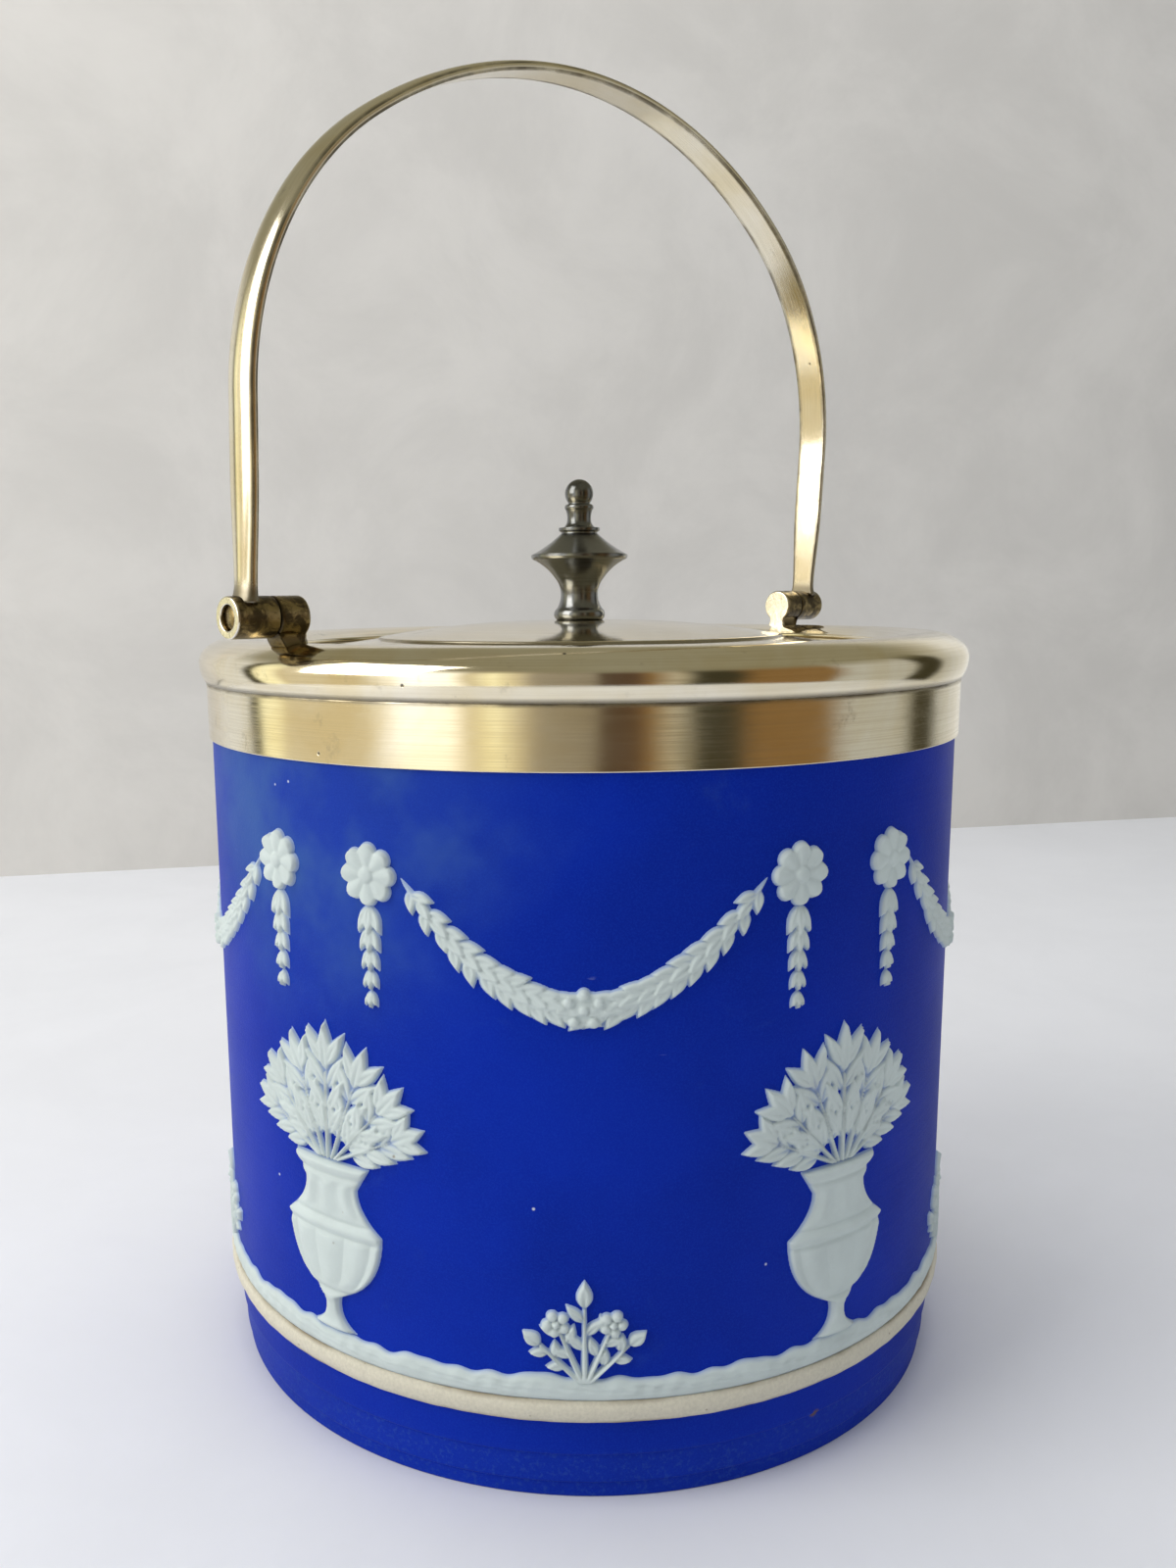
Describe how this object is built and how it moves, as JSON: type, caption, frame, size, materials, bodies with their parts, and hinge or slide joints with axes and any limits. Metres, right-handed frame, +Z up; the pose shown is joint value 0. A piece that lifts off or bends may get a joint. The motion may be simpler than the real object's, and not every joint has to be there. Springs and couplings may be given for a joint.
{
  "type": "biscuit jar",
  "caption": "Cylindrical stoneware biscuit jar with white relief, plated rim mount, loose domed lid with turned finial, and a swing handle.",
  "frame": {"origin": "middle of the foot, on the surface that the jar stands on", "axes": "+Z up along the jar's axis, X along the handle's hinge line, Y across it"},
  "size_m": [0.1406, 0.1304, 0.2112],
  "materials": {
    "stoneware_blue": "matte",
    "clay_cream": "matte",
    "clay_white": "matte",
    "plaster": "matte",
    "plate_warm": "polished",
    "brass_tarnished": "satin",
    "pewter_dark": "satin",
    "steel": "satin"
  },
  "bodies": {
    "jar": {"jar_body": "stoneware_blue", "cream_band": "clay_cream", "ground_strip": "clay_white", "relief_urns": "clay_white", "relief_leaf_sprays": "clay_white", "relief_garlands": "clay_white", "relief_rosettes": "clay_white", "relief_drops": "clay_white", "relief_sprigs": "clay_white", "plaster_bed": "plaster", "collar_band": "plate_warm", "shoulder_ring": "plate_warm", "lid_seat": "plate_warm", "right_hinge_lug": "brass_tarnished", "left_hinge_lug": "brass_tarnished", "right_hinge_pin": "brass_tarnished", "left_hinge_pin": "brass_tarnished"},
    "handle": {"handle_bow": "plate_warm", "right_handle_knuckle": "brass_tarnished", "left_handle_knuckle": "brass_tarnished"},
    "lid": {"lid_plate": "plate_warm", "lid_flange": "plate_warm", "finial_spool": "pewter_dark", "finial_cone": "pewter_dark", "finial_ball": "pewter_dark", "finial_washer": "steel", "finial_nut": "steel", "finial_stud": "steel"}
  },
  "joints": [
    {"name": "handle_swing", "type": "hinge", "parent": "jar", "child": "handle", "pos_m": [0, 0, 0.1261], "axis": [1, 0, 0], "range_deg": [-128, 122]},
    {"name": "lid_lift", "type": "slide", "parent": "jar", "child": "lid", "axis": [0, 0, 1], "range_m": [0, 0.05]}
  ]
}
